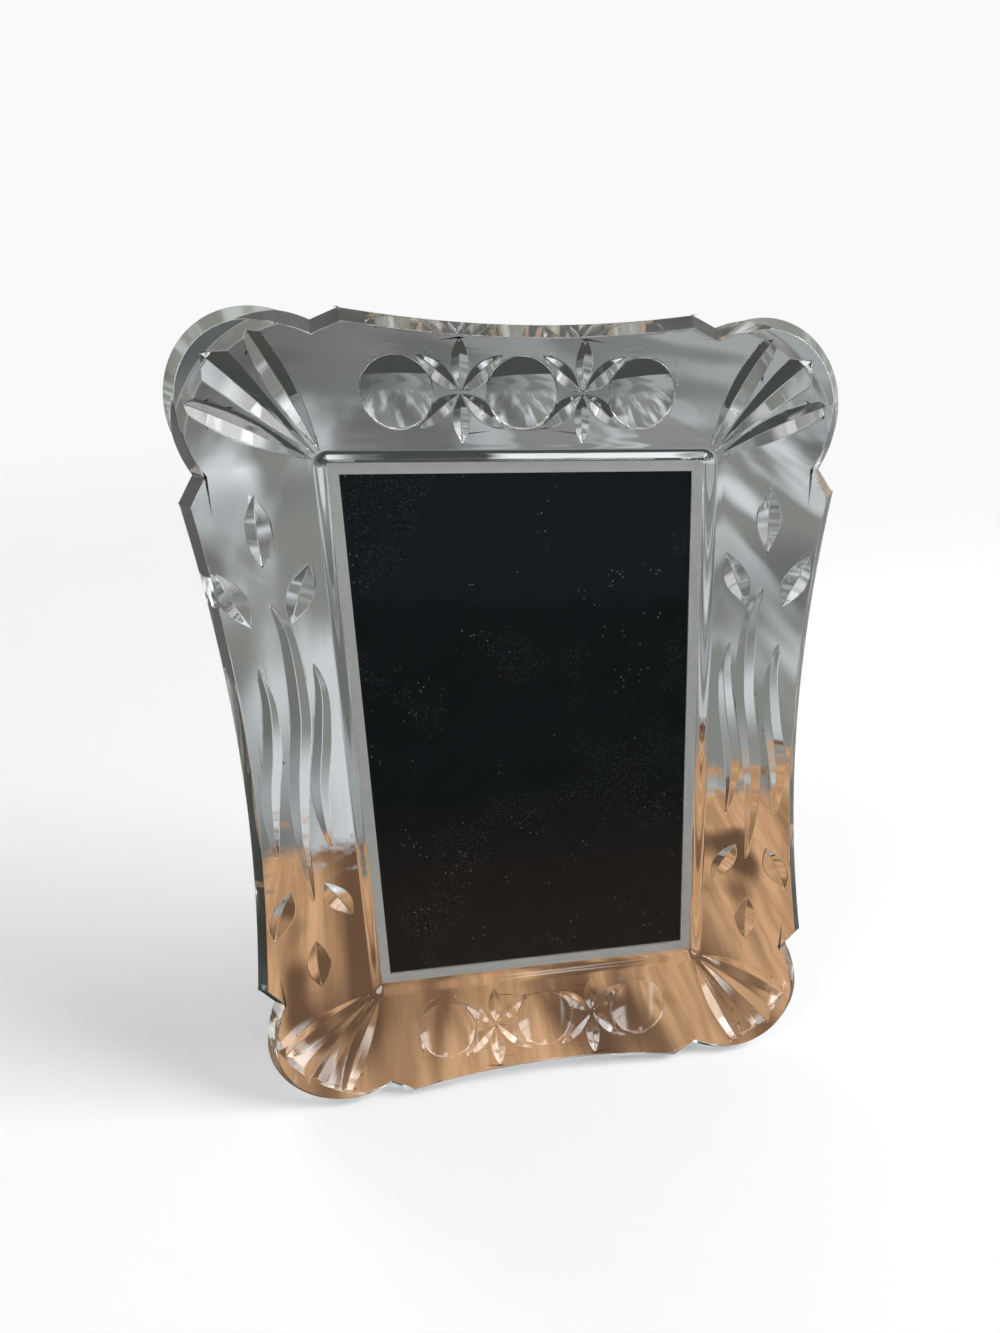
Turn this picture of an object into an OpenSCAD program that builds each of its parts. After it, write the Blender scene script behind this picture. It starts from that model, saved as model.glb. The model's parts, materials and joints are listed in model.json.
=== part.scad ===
// Cut glass picture frame with a recessed window, standing on an easel leg.
// The frame is drawn flat, window towards +Z and the pane's rear face at z = 0, and stand()
// then sets it up on its two lower lobes, leaning back on the leg. Lengths are millimetres.

/* [Sight opening] */
// Width of the opening inside the liner, for a 4 x 6 inch print
sight_w = 97.2; // [80:0.2:120]
// Height of the opening inside the liner
sight_h = 152.2; // [125:0.2:180]
// Width of the liner band that shows through the pane
band_w = 2.6; // [1.5:0.1:4]

/* [Glass] */
// Thickness of the flat pane
pane_t = 3.1; // [2.5:0.1:5]
// Width of the sloping bevel round the pane
bevel_w = 3.8; // [2:0.1:4.2]
// Depth of that bevel
bevel_d = 1.9; // [1:0.1:3]
// Corner radius of the window at the top of the bevel
window_corner_r = 4.4; // [4.3:0.1:8]
// Width of the hollow border, from the window to its front rim
cove_w = 29.8; // [26:0.2:36]
// Rise of the hollow border from the window to the rim
cove_rise = 9.8; // [7:0.2:13]
// Radius of the four corner lobes at their front edge
lobe_r = 19.8; // [17:0.2:23]
// Inward bow of the left and right edges
side_sag = 6.8; // [4:0.2:9]
// Inward bow of the top and bottom edges
bar_sag = 4.4; // [2:0.2:6]
// Angle of the long corner chamfers against the frame's width
side_chamfer_angle = 43.5; // [38:0.5:50]
// Angle of the short corner chamfers against the frame's width
bar_chamfer_angle = 33.2; // [28:0.5:38]

/* [Cut decoration] */
// Width of a corner ray
ray_w = 5.2; // [3:0.1:6]
// Depth of a corner ray
ray_d = 1.3; // [0.8:0.1:1.8]
// Radius of a round thumbprint
thumb_r = 9.2; // [7:0.1:10]
// Depth of a round thumbprint
thumb_d = 1.9; // [1:0.1:2.4]
// Pitch from a thumbprint to the star beside it
star_pitch = 16.1; // [14:0.1:18]
// Length of a star's upright petals
petal_len = 12.6; // [9:0.1:13]
// Width of a star's petal
petal_w = 4.4; // [3:0.1:5]
// Depth of a star's petal
petal_d = 1.2; // [0.8:0.1:1.6]
// Width of a side leaf
leaf_w = 6.4; // [4:0.1:7]
// Depth of a side leaf
leaf_d = 1.5; // [0.8:0.1:1.8]
// Width of a stem at its middle
stem_w = 6; // [4:0.1:6.6]
// Depth of a stem at its middle
stem_d = 1.1; // [0.6:0.1:1.6]

/* [Liner] */
// Thickness of the liner's aluminium strip
rail_t = 0.8; // [0.6:0.1:1.2]
// Width of the liner's front lip, from the sight opening to its web
lip_w = 2.4; // [2:0.1:3]
// Length of the tab bent outward at the middle of each long side
tab_len = 28; // [20:1:40]
// Reach of that tab beyond the liner's web
tab_w = 2.2; // [1.6:0.1:3]

/* [Back] */
// Thickness of the black display card
card_t = 0.5; // [0.3:0.1:1]
// Thickness of the back board
board_t = 3; // [2:0.1:4]
// Thickness of the flock cloth on the board and on the leg
cloth_t = 0.6; // [0.4:0.1:1]

/* [Turn buttons] */
// Distance of a turn button's pivot inward from the liner's web
button_inset = 7; // [6:0.5:9]
// Width of a turn button
button_w = 7; // [6:0.2:8]
// Thickness of a turn button
button_t = 1; // [0.8:0.1:1.4]
// Radius of a turn button's rivet
button_rivet_r = 1.5; // [1.2:0.1:1.8]

/* [Easel] */
// Lean of the frame from upright
lean = 10; // [6:0.5:14]
// Angle between the board and the opened leg
leg_open = 24; // [20:0.5:30]
// Height of the hinge pin above the middle of the board
hinge_y = 20; // [0:1:30]
// Width of the leg at its top
leg_top_w = 27; // [24:0.5:36]
// Width of the leg at its foot
leg_foot_w = 54; // [40:0.5:70]
// Thickness of the leg's board
leg_t = 2.6; // [2:0.1:4]
// Width of the easel hinge
hinge_w = 30; // [24:0.5:34]
// Radius of the hinge pin
pin_r = 1; // [0.8:0.1:1.2]

/* [Hidden] */
$fn = 96;

// Overrun of every cut past the face that it opens
over = 1;

// Glass: half sizes of the sight opening, of the window and of the rim
sight_hw = sight_w / 2;
sight_hh = sight_h / 2;
window_hw = sight_hw + band_w + bevel_w;
window_hh = sight_hh + band_w + bevel_w;
rim_hw = window_hw + cove_w;
rim_hh = window_hh + cove_w;

// Glass: the cove is one arc that leaves the window level, with the wall's rear face round the
// same centre, and the rim's end face stands square to the wall
wall = pane_t + bevel_d;
cove_r = (cove_w * cove_w + cove_rise * cove_rise) / (2 * cove_rise);
arc_z = wall + cove_r;
rim_z = wall + cove_rise;
rim_angle = asin(cove_w / cove_r);
rim_back_u = (cove_r + wall) * sin(rim_angle);
rim_back_z = arc_z - (cove_r + wall) * cos(rim_angle);
rim_slope = tan(rim_angle);
rear_set = (rim_z - rim_back_z) * rim_slope;
lobe_back_r = lobe_r + rear_set;
lobe_x = rim_hw - lobe_r;
lobe_y = rim_hh - lobe_r;
lobe_reach = norm([lobe_x - window_hw, lobe_y - window_hh]) + lobe_back_r + window_corner_r;

// Glass: the edges end on the rim's sides, where the chamfers to the lobes start
side_end_share = 1.15;
bar_end_share = 1.05;
side_end = lobe_y - side_end_share * lobe_r;
bar_end = lobe_x - bar_end_share * lobe_r;
chamfer_run_share = 2.1;

// Decoration: places are shares of the border's width and of the window's half height
ray_angles = [26, 45, 64];
ray_reach_shares = [1.045, 1.12, 1.045];
ray_start = window_corner_r + bevel_w / 4;
bar_line_share = 0.466;
petal_angles = [39, 90, 141, 219, 270, 321];
petal_len_shares = [1, 0.91, 1, 1, 0.91, 1];
slant_petal_share = 1.1;
petal_start_share = 0.06;
leaf_shares = [
    [[0.51, 0.87], [0.515, 0.655]],
    [[0.12, 0.655], [0.335, 0.468]],
    [[0.89, 0.645], [0.68, 0.467]],
    [[0.34, -0.479], [0.1, -0.623]],
    [[0.66, -0.49], [0.87, -0.662]],
    [[0.49, -0.708], [0.49, -0.903]]
];
stem_shares = [
    [[0.185, 0.33], [0.145, 0.22], [0.19, 0.06], [0.26, -0.1], [0.262, -0.22], [0.225, -0.35]],
    [[0.49, 0.53], [0.38, 0.41], [0.36, 0.15], [0.45, -0.09], [0.49, -0.3], [0.455, -0.55]],
    [[0.665, 0.33], [0.615, 0.2], [0.645, 0.04], [0.71, -0.1], [0.735, -0.22], [0.735, -0.35]]
];
stem_w_shares = [0.9, 1, 0.9];
stem_steps = 5;
stem_swell_share = 0.6;
stem_lift = 0.4;
stem_end_rise = 0.15;

// Liner, card and board, stacked behind the pane
fit_gap = 0.3;
mitre_gap = 0.1;
tab_post = 2;
tab_corner_r = 1.6;
card_z = -rail_t;
board_z = card_z - card_t;
cloth_z = board_z - board_t;
back_z = cloth_z - cloth_t;
button_gap = 0.1;
liner_z = back_z - button_gap;
board_hw = sight_hw + lip_w - fit_gap;
board_hh = sight_hh + lip_w - fit_gap;

// Turn buttons on the board, each with its nose under a tab of the liner
button_pivot_x = sight_hw + lip_w - button_inset;
button_catch_share = 0.64;
button_reach = button_inset + rail_t + button_catch_share * tab_w;
button_collar_t = 0.3;
button_back_z = back_z - button_collar_t - button_gap - button_t;
tab_z = button_back_z - button_gap - rail_t;
rivet_gap = 0.05;
button_head_r = 2.8;
button_head_t = 1;
button_tail_r = 2.2;
button_tail_t = 0.7;

// Hinge: three knuckles on one pin, the middle one on the leg's leaf
knuckle_t = 0.9;
knuckle_r = pin_r + knuckle_t;
knuckle_gap = 0.2;
leaf_gap = 0.3;
middle_share = 0.44;
middle_hw = middle_share * hinge_w / 2;
hinge_t = 0.8;
hinge_h = 16;
pin_z = back_z - leaf_gap - knuckle_r;
pin_head_t = 0.8;
pin_run_gap = 0.06;
stop_h = 7;
stop_gap = 0.1;
stop_side_gap = 0.4;
hinge_rivet_r = 1.2;
hinge_rivet_head_r = 2.3;
hinge_rivet_head_t = 0.9;
hinge_rivet_x_share = 0.62;
hinge_rivet_y_share = 0.68;

// Leg, drawn folded flat on the board and then opened about the pin
leaf_z = back_z - leaf_gap;
leg_z = leaf_z - hinge_t;
leg_cloth_z = leg_z - leg_t;
leg_back_z = leg_cloth_z - cloth_t;
leg_top_gap = 3.2;
leg_shoulder_r = 5;
leaf_h = 22;
cloth_foot_gap = 3.5;

// Standing: the floor touches the leg's foot and the lowest points of the rim's rear edge, which
// are its lobes or the corners where the lower edge's bow meets the chamfers
foot_tilt = leg_open - lean;
bar_bow_r = (bar_end * bar_end + bar_sag * bar_sag) / (2 * bar_sag);
bar_chamfer_dir = [cos(bar_chamfer_angle), -sin(bar_chamfer_angle)];
chamfer_from_bow = [bar_end, bar_sag - bar_bow_r] + rear_set * turned(bar_chamfer_dir);
chamfer_lead = chamfer_from_bow * bar_chamfer_dir;
bow_overlap = chamfer_from_bow * chamfer_from_bow - pow(bar_bow_r - rear_set, 2);
chamfer_back = chamfer_lead - sqrt(chamfer_lead * chamfer_lead - bow_overlap);
corner_reach = rim_hh - bar_sag + bar_bow_r + chamfer_from_bow.y - chamfer_back * bar_chamfer_dir.y;
rim_reach = max(lobe_y + lobe_back_r, corner_reach);
floor_level = rim_back_z * sin(lean) - rim_reach * cos(lean);
pin_height = hinge_y * cos(lean) + pin_z * sin(lean) - floor_level;
pin_depth = hinge_y * sin(lean) - pin_z * cos(lean);
leg_len = pin_height / cos(foot_tilt);
foot_depth = pin_depth + pin_height * tan(foot_tilt) + (pin_z - leg_cloth_z) / cos(foot_tilt);
front_depth = -rim_hh * sin(lean) - rim_z * cos(lean);
stand_y = -(foot_depth + front_depth) / 2;

function cove_z(u) = wall + cove_r - sqrt(cove_r * cove_r - u * u);
// Distance outward from the window's edge of a plan point in the first quarter
function border_u(p) =
    let (dx = p.x - window_hw + window_corner_r, dy = p.y - window_hh + window_corner_r)
    (dx > 0 && dy > 0 ? norm([dx, dy]) : max(dx, dy)) - window_corner_r;
// Height of the front surface over a plan point, alike in all four quarters
function front_z(p) =
    let (u = border_u([abs(p.x), abs(p.y)]))
    u < 0 ? wall : u < cove_w ? cove_z(u) : rim_z;
function middle(a, b) = (a + b) / 2;
function turned(v) = [-v.y, v.x];
function unit(v) = v / norm(v);
// Smooth curve through knots, at the share t of the stretch from knot i to the next
function knot(k, i) = k[max(0, min(len(k) - 1, i))];
function curve_at(k, i, t) =
    let (a = knot(k, i - 1), b = knot(k, i), c = knot(k, i + 1), d = knot(k, i + 2))
    b + (t * (c - a) + t * t * (2 * a - 5 * b + 4 * c - d) + t * t * t * (3 * b - a - 3 * c + d)) / 2;
function border_point(s) = [window_hw + s[0] * cove_w, s[1] * window_hh];

module stand() {
    translate([0, stand_y, -floor_level]) rotate([90 - lean, 0, 0]) children();
}

module four_corners() {
    for (i = [0, 1], j = [0, 1]) mirror([i, 0, 0]) mirror([0, j, 0]) children();
}

// Glass body

module wall_section() {
    polygon([[-bevel_w, 0], [-bevel_w, pane_t], [0, wall], [0, 0]]);
    intersection() {
        difference() {
            translate([0, arc_z]) circle(cove_r + wall);
            translate([0, arc_z]) circle(cove_r);
        }
        square([lobe_reach, rim_z]);
    }
    land_u = middle(cove_w, rim_back_u);
    translate([land_u, rim_back_z]) square([lobe_reach - land_u, rim_z - rim_back_z]);
}

module border_bar(half_out, half_along) {
    straight = half_along - window_corner_r;
    translate([half_out, straight, 0]) rotate([90, 0, 0]) linear_extrude(2 * straight) wall_section();
}

module dish() {
    for (turn = [0, 180]) rotate([0, 0, turn]) {
        border_bar(window_hw, window_hh);
        rotate([0, 0, 90]) border_bar(window_hh, window_hw);
    }
    four_corners() {
        translate([window_hw - window_corner_r, window_hh - window_corner_r, 0])
        rotate_extrude(angle = 90) translate([window_corner_r, 0]) wall_section();
    }
    pane_hw = window_hw - bevel_w / 2;
    pane_hh = window_hh - bevel_w / 2;
    translate([-pane_hw, -pane_hh, 0]) cube([2 * pane_hw, 2 * pane_hh, pane_t]);
}

// Cone with the rim's slope, whose radius is r at the height of the rim
module rim_cone(r, flare) {
    low = r + flare * (rim_z + over) * rim_slope;
    high = r - flare * over * rim_slope;
    translate([0, 0, -over]) cylinder(h = rim_z + 2 * over, r1 = low, r2 = high, $fn = 180);
}

// Hollow of one bowed edge, cut by a wide cone that stands outside it
module edge_bow(half_out, half_along, sag) {
    bow_r = (half_along * half_along + sag * sag) / (2 * sag);
    translate([half_out - sag + bow_r, 0, 0]) rim_cone(bow_r, -1);
}

// Cut whose face leans with the rim and runs from its start point, at an angle in plan
module chamfer_cut(start, angle, side) {
    run = chamfer_run_share * lobe_r;
    translate([start.x, start.y, rim_z]) rotate([0, 0, angle]) rotate([side * rim_angle, 0, 0])
    translate([-lobe_r, side > 0 ? 0 : -2 * lobe_r, -2 * rim_z]) cube([lobe_r + run, 2 * lobe_r, 3 * rim_z]);
}

module outline() {
    block_hw = rim_hw + lobe_r / 2;
    block_hh = rim_hh + lobe_r / 2;
    difference() {
        translate([-block_hw, -block_hh, -over / 2]) cube([2 * block_hw, 2 * block_hh, rim_z + over]);
        for (turn = [0, 180]) rotate([0, 0, turn]) {
            edge_bow(rim_hw, side_end, side_sag);
            rotate([0, 0, 90]) edge_bow(rim_hh, bar_end, bar_sag);
        }
        four_corners() {
            chamfer_cut([rim_hw, side_end], 180 - side_chamfer_angle, -1);
            chamfer_cut([bar_end, rim_hh], -bar_chamfer_angle, 1);
        }
    }
    four_corners() translate([lobe_x, lobe_y, 0]) rim_cone(lobe_r, 1);
}

// Cutting wheel with a vee edge, its disc in the XZ plane
module mitre_wheel(r, w, d) {
    slope = w / 2 / d;
    half = w;
    for (side = [0, 1]) mirror([0, side, 0]) rotate([-90, 0, 0])
        cylinder(h = half, r1 = r, r2 = r - half / slope);
}

// Vee cut between two plan points of the border, as the edge of a wheel leaves it
module mitre_cut(a, b, w, d) {
    m = middle(a, b);
    rise = front_z(b) - front_z(a);
    run = norm(b - a);
    chord_z = middle(front_z(a), front_z(b));
    sink = d + chord_z - front_z(m);
    chord = norm([run, rise]);
    wheel_r = (chord * chord / 4 + sink * sink) / (2 * sink);
    across = turned(unit(b - a));
    roll = atan((front_z(m + across) - front_z(m - across)) / 2);
    translate([m.x, m.y, chord_z]) rotate([roll, -atan(rise / run), atan2(b.y - a.y, b.x - a.x)])
        translate([0, 0, wheel_r - sink]) mitre_wheel(wheel_r, w, d);
}

module corner_rays() {
    corner = [window_hw - window_corner_r, window_hh - window_corner_r];
    for (i = [0 : len(ray_angles) - 1]) {
        dir = [cos(ray_angles[i]), sin(ray_angles[i])];
        reach = window_corner_r + ray_reach_shares[i] * cove_w;
        mitre_cut(corner + ray_start * dir, corner + reach * dir, ray_w, ray_d);
    }
}

module star(centre) {
    for (i = [0 : len(petal_angles) - 1]) {
        dir = [cos(petal_angles[i]), sin(petal_angles[i])];
        reach = slant_petal_share * petal_len_shares[i] * petal_len;
        mitre_cut(centre + petal_start_share * petal_len * dir, centre + reach * dir, petal_w, petal_d);
    }
}

module thumbprint(centre) {
    ball_r = (thumb_r * thumb_r + thumb_d * thumb_d) / (2 * thumb_d);
    slope = asin(border_u([abs(centre.x), centre.y]) / cove_r);
    translate([centre.x, centre.y, front_z(centre)]) rotate([slope, 0, 0]) intersection() {
        translate([0, 0, ball_r - thumb_d]) sphere(ball_r);
        translate([0, 0, -2 * thumb_d]) cylinder(h = 4 * thumb_d, r = thumb_r);
    }
}

module bar_cuts() {
    line = window_hh + bar_line_share * cove_w;
    for (i = [-1, 0, 1]) thumbprint([2 * i * star_pitch, line]);
    for (i = [-1, 1]) star([i * star_pitch, line]);
}

// Swelling vee cut along a smooth curve, pointed at both ends
module stem(knots, w) {
    last = (len(knots) - 1) * stem_steps;
    path = [for (i = [0 : last])
        let (k = floor(i / stem_steps))
        curve_at(knots, k, i / stem_steps - k)];
    slope = w / 2 / stem_d;
    rings = [for (i = [0 : last])
        let (
            p = path[i],
            across = turned(unit(path[min(last, i + 1)] - path[max(0, i - 1)])),
            swell = pow(sin(180 * i / last), stem_swell_share),
            d = swell * (stem_d + stem_end_rise) - stem_end_rise,
            half = (d + stem_lift) * slope,
            l = p + half * across,
            r = p - half * across
        )
        [[l.x, l.y, front_z(l) + stem_lift], [r.x, r.y, front_z(r) + stem_lift], [p.x, p.y, front_z(p) - d]]];
    points = [for (ring = rings) for (q = ring) q];
    sides = [for (i = [0 : last - 1]) for (j = [0 : 2])
        let (a = 3 * i + j, b = 3 * i + (j + 1) % 3)
        for (f = [[b, a, b + 3], [b + 3, a, a + 3]]) f];
    polyhedron(points, concat([[0, 1, 2]], sides, [[3 * last + 2, 3 * last + 1, 3 * last]]));
}

module side_cuts() {
    for (leaf = leaf_shares) mitre_cut(border_point(leaf[0]), border_point(leaf[1]), leaf_w, leaf_d);
    for (i = [0 : len(stem_shares) - 1])
        stem([for (s = stem_shares[i]) border_point(s)], stem_w_shares[i] * stem_w);
}

module glass_body() {
    color([0.8, 0.85, 0.84, 0.55]) stand() difference() {
        intersection() {
            dish();
            outline();
        }
        four_corners() corner_rays();
        for (turn = [0, 1]) mirror([0, turn, 0]) bar_cuts();
        for (turn = [0, 1]) mirror([turn, 0, 0]) side_cuts();
    }
}

// Liner of four mitred strips bonded behind the pane

// Strip between two distances outward from the sight opening, its ends mitred
module mitred_strip(half_along, v0, v1) {
    h = half_along - mitre_gap / 2;
    polygon([[-h - v0, v0], [h + v0, v0], [h + v1, v1], [-h - v1, v1]]);
}

module liner_rail(half_out, half_along) {
    translate([0, half_out, 0]) {
        translate([0, 0, -rail_t]) linear_extrude(rail_t) mitred_strip(half_along, 0, lip_w + rail_t);
        translate([0, 0, liner_z]) linear_extrude(-liner_z) mitred_strip(half_along, lip_w, lip_w + rail_t);
    }
}

// Tab with rounded corners on two posts of the web, between which a button's nose passes
module tab() {
    reach = rail_t + tab_w;
    square_end = reach - tab_corner_r;
    translate([0, -tab_len / 2, tab_z]) {
        cube([square_end, tab_len, rail_t]);
        translate([0, tab_corner_r, 0]) cube([reach, tab_len - 2 * tab_corner_r, rail_t]);
        for (y = [tab_corner_r, tab_len - tab_corner_r])
            translate([square_end, y, 0]) cylinder(h = rail_t, r = tab_corner_r);
        for (y = [0, tab_len - tab_post]) translate([0, y, 0]) cube([rail_t, tab_post, liner_z + over - tab_z]);
    }
}

module side_rail() {
    rotate([0, 0, -90]) liner_rail(sight_hw, sight_hh);
    translate([sight_hw + lip_w, 0, 0]) tab();
}

module liner_top() {
    color([0.72, 0.72, 0.7]) stand() liner_rail(sight_hh, sight_hw);
}

module liner_bottom() {
    color([0.72, 0.72, 0.7]) stand() mirror([0, 1, 0]) liner_rail(sight_hh, sight_hw);
}

module liner_left() {
    color([0.72, 0.72, 0.7]) stand() mirror([1, 0, 0]) side_rail();
}

module liner_right() {
    color([0.72, 0.72, 0.7]) stand() side_rail();
}

// Card and board

module board_sheet(z, t) {
    translate([-board_hw, -board_hh, z - t]) cube([2 * board_hw, 2 * board_hh, t]);
}

module plate_rivet_places() {
    for (s = [-1, 1])
        translate([s * hinge_rivet_x_share * hinge_w / 2, hinge_y + hinge_rivet_y_share * hinge_h, 0])
        children();
}

module plate_rivet_holes() {
    plate_rivet_places() translate([0, 0, back_z - hinge_t - over])
        cylinder(h = board_z - back_z + hinge_t + 2 * over, r = hinge_rivet_r + rivet_gap);
}

module button_rivet_holes() {
    for (s = [-1, 1]) translate([s * button_pivot_x, 0, 0]) {
        translate([0, 0, back_z - over])
            cylinder(h = board_z - back_z + 2 * over, r = button_rivet_r + rivet_gap);
        translate([0, 0, board_z - button_tail_t])
            cylinder(h = button_tail_t + over, r = button_tail_r + rivet_gap);
    }
}

module display_card() {
    color([0.02, 0.02, 0.025]) stand() board_sheet(card_z, card_t);
}

module back_board() {
    color([0.28, 0.2, 0.13]) stand() difference() {
        board_sheet(board_z, board_t);
        plate_rivet_holes();
        button_rivet_holes();
    }
}

module back_cloth() {
    color([0.03, 0.03, 0.035]) stand() difference() {
        board_sheet(cloth_z, cloth_t);
        plate_rivet_holes();
        button_rivet_holes();
    }
}

// Turn buttons

// The button on the right, its nose outward
module turn_button() {
    nose_x = button_reach - button_w / 2;
    color([0.75, 0.72, 0.62]) stand() translate([button_pivot_x, 0, button_back_z]) linear_extrude(button_t)
    difference() {
        union() {
            circle(button_w / 2);
            translate([nose_x, 0]) circle(button_w / 2);
            translate([0, -button_w / 2]) square([nose_x, button_w]);
        }
        circle(button_rivet_r + rivet_gap);
    }
}

module turn_button_left() {
    mirror([1, 0, 0]) turn_button();
}

module turn_button_right() {
    turn_button();
}

module button_rivets() {
    head_z = button_back_z - button_gap;
    color([0.7, 0.7, 0.72]) stand() for (s = [-1, 1]) translate([s * button_pivot_x, 0, 0]) {
        translate([0, 0, head_z - button_head_t])
            cylinder(h = button_head_t, r1 = button_tail_r, r2 = button_head_r);
        translate([0, 0, head_z - button_head_t / 2])
            cylinder(h = board_z - button_tail_t / 2 - head_z + button_head_t / 2, r = button_rivet_r);
        translate([0, 0, back_z - button_collar_t]) cylinder(h = button_collar_t, r = button_tail_r);
        translate([0, 0, board_z - button_tail_t]) cylinder(h = button_tail_t, r = button_tail_r);
    }
}

// Easel hinge

module knuckle(x0, x1) {
    translate([x0, hinge_y, pin_z]) rotate([0, 90, 0]) cylinder(h = x1 - x0, r = knuckle_r);
}

module pin_bore(gap) {
    translate([-hinge_w / 2 - over, hinge_y, pin_z]) rotate([0, 90, 0])
        cylinder(h = hinge_w + 2 * over, r = pin_r + gap);
}

module hinge_plate() {
    color([0.62, 0.6, 0.52]) stand() difference() {
        union() {
            for (turn = [0, 1]) mirror([turn, 0, 0]) {
                knuckle(middle_hw + knuckle_gap, hinge_w / 2);
                translate([middle_hw + knuckle_gap, hinge_y, back_z - hinge_t])
                    cube([hinge_w / 2 - middle_hw - knuckle_gap, hinge_h, hinge_t]);
            }
            translate([-hinge_w / 2, hinge_y + knuckle_r + leaf_gap, back_z - hinge_t])
                cube([hinge_w, hinge_h - knuckle_r - leaf_gap, hinge_t]);
        }
        pin_bore(rivet_gap);
        plate_rivet_holes();
    }
}

module hinge_plate_rivets() {
    color([0.62, 0.6, 0.52]) stand() plate_rivet_places() {
        translate([0, 0, back_z - hinge_t]) cylinder(h = board_z - back_z + hinge_t, r = hinge_rivet_r);
        translate([0, 0, back_z - hinge_t - hinge_rivet_head_t])
            cylinder(h = hinge_rivet_head_t, r1 = hinge_rivet_r, r2 = hinge_rivet_head_r);
    }
}

module hinge_pin() {
    color([0.7, 0.7, 0.72]) stand() {
        translate([-hinge_w / 2, hinge_y, pin_z]) rotate([0, 90, 0]) cylinder(h = hinge_w, r = pin_r);
        for (turn = [0, 1]) mirror([turn, 0, 0]) translate([hinge_w / 2, hinge_y, pin_z]) rotate([0, 90, 0])
            cylinder(h = pin_head_t, r1 = knuckle_r - knuckle_t / 2, r2 = pin_r);
    }
}

// Turns what is drawn folded flat into the opened leg
module opened() {
    translate([0, hinge_y, pin_z]) rotate([leg_open, 0, 0]) translate([0, -hinge_y, -pin_z]) children();
}

module leg_rivet_places() {
    for (s = [-1, 1])
        translate([s * hinge_rivet_x_share * leg_top_w / 2, hinge_y - hinge_rivet_y_share * leaf_h, 0])
        children();
}

module leg_rivet_holes() {
    leg_rivet_places() translate([0, 0, leg_back_z - over])
        cylinder(h = leaf_z - leg_back_z + 2 * over, r = hinge_rivet_r + rivet_gap);
}

module hinge_leaf() {
    leaf_hw = leg_top_w / 2;
    throat = knuckle_r + leaf_gap;
    color([0.62, 0.6, 0.52]) stand() difference() {
        union() {
            knuckle(-middle_hw, middle_hw);
            opened() {
                translate([-middle_hw, hinge_y - leaf_h, leg_z]) cube([2 * middle_hw, leaf_h, hinge_t]);
                translate([-leaf_hw, hinge_y - leaf_h, leg_z]) cube([2 * leaf_hw, leaf_h - throat, hinge_t]);
            }
            translate([-middle_hw + stop_side_gap, hinge_y + pin_r, back_z - 2 * hinge_t - stop_gap])
                cube([2 * (middle_hw - stop_side_gap), stop_h - pin_r, hinge_t]);
        }
        pin_bore(pin_run_gap);
        opened() leg_rivet_holes();
    }
}

module hinge_leaf_rivets() {
    color([0.62, 0.6, 0.52]) stand() opened() leg_rivet_places() {
        translate([0, 0, leg_back_z]) cylinder(h = leaf_z - leg_back_z, r = hinge_rivet_r);
        translate([0, 0, leg_back_z - hinge_rivet_head_t])
            cylinder(h = hinge_rivet_head_t, r1 = hinge_rivet_r, r2 = hinge_rivet_head_r);
    }
}

// Easel leg

module leg_outline() {
    top = hinge_y - leg_top_gap;
    foot = hinge_y - leg_len - (pin_z - leg_back_z) - over;
    top_hw = leg_top_w / 2;
    polygon([[-top_hw, top], [top_hw, top], [top_hw, top - leg_shoulder_r], [leg_foot_w / 2, foot],
        [-leg_foot_w / 2, foot], [-top_hw, top - leg_shoulder_r]]);
}

// Everything lower than a height over the floor
module below(height) {
    depth = leg_len;
    rotate([lean, 0, 0]) translate([-leg_foot_w, floor_level + height - depth, -depth])
        cube([2 * leg_foot_w, depth, 2 * depth]);
}

module easel_leg() {
    color([0.1, 0.08, 0.07]) stand() difference() {
        opened() difference() {
            translate([0, 0, leg_cloth_z]) linear_extrude(leg_t) leg_outline();
            leg_rivet_holes();
        }
        below(0);
    }
}

module leg_cloth() {
    color([0.03, 0.03, 0.035]) stand() difference() {
        opened() difference() {
            translate([0, 0, leg_back_z]) linear_extrude(cloth_t) leg_outline();
            leg_rivet_holes();
        }
        below(cloth_foot_gap);
    }
}

glass_body();
liner_top();
liner_bottom();
liner_left();
liner_right();
display_card();
back_board();
back_cloth();
hinge_plate();
hinge_plate_rivets();
hinge_pin();
button_rivets();
turn_button_left();
turn_button_right();
hinge_leaf();
hinge_leaf_rivets();
easel_leg();
leg_cloth();
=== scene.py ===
import json
import math

import bmesh
import bpy
from mathutils import Euler, Matrix, Vector


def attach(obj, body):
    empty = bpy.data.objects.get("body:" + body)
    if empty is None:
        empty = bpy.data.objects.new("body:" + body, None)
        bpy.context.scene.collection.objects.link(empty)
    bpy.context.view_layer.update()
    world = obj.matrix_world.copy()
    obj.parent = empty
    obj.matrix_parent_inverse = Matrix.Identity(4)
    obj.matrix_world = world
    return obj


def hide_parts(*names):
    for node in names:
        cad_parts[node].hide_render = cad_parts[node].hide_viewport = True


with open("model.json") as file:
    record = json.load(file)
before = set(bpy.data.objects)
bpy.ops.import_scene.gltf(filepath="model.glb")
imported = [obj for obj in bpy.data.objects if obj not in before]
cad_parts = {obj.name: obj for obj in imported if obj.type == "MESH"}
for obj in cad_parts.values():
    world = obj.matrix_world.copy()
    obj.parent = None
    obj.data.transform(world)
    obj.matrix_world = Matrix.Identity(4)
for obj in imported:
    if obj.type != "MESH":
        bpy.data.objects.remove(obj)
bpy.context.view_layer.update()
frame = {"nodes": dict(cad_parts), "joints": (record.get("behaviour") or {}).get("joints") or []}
nodes = frame["nodes"]
mm = 0.001
tiny = 0.02 * mm  # tells the levels of a flat piece apart
touching = 0.001 * mm  # corners this close are one
print("frame loaded")

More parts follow.
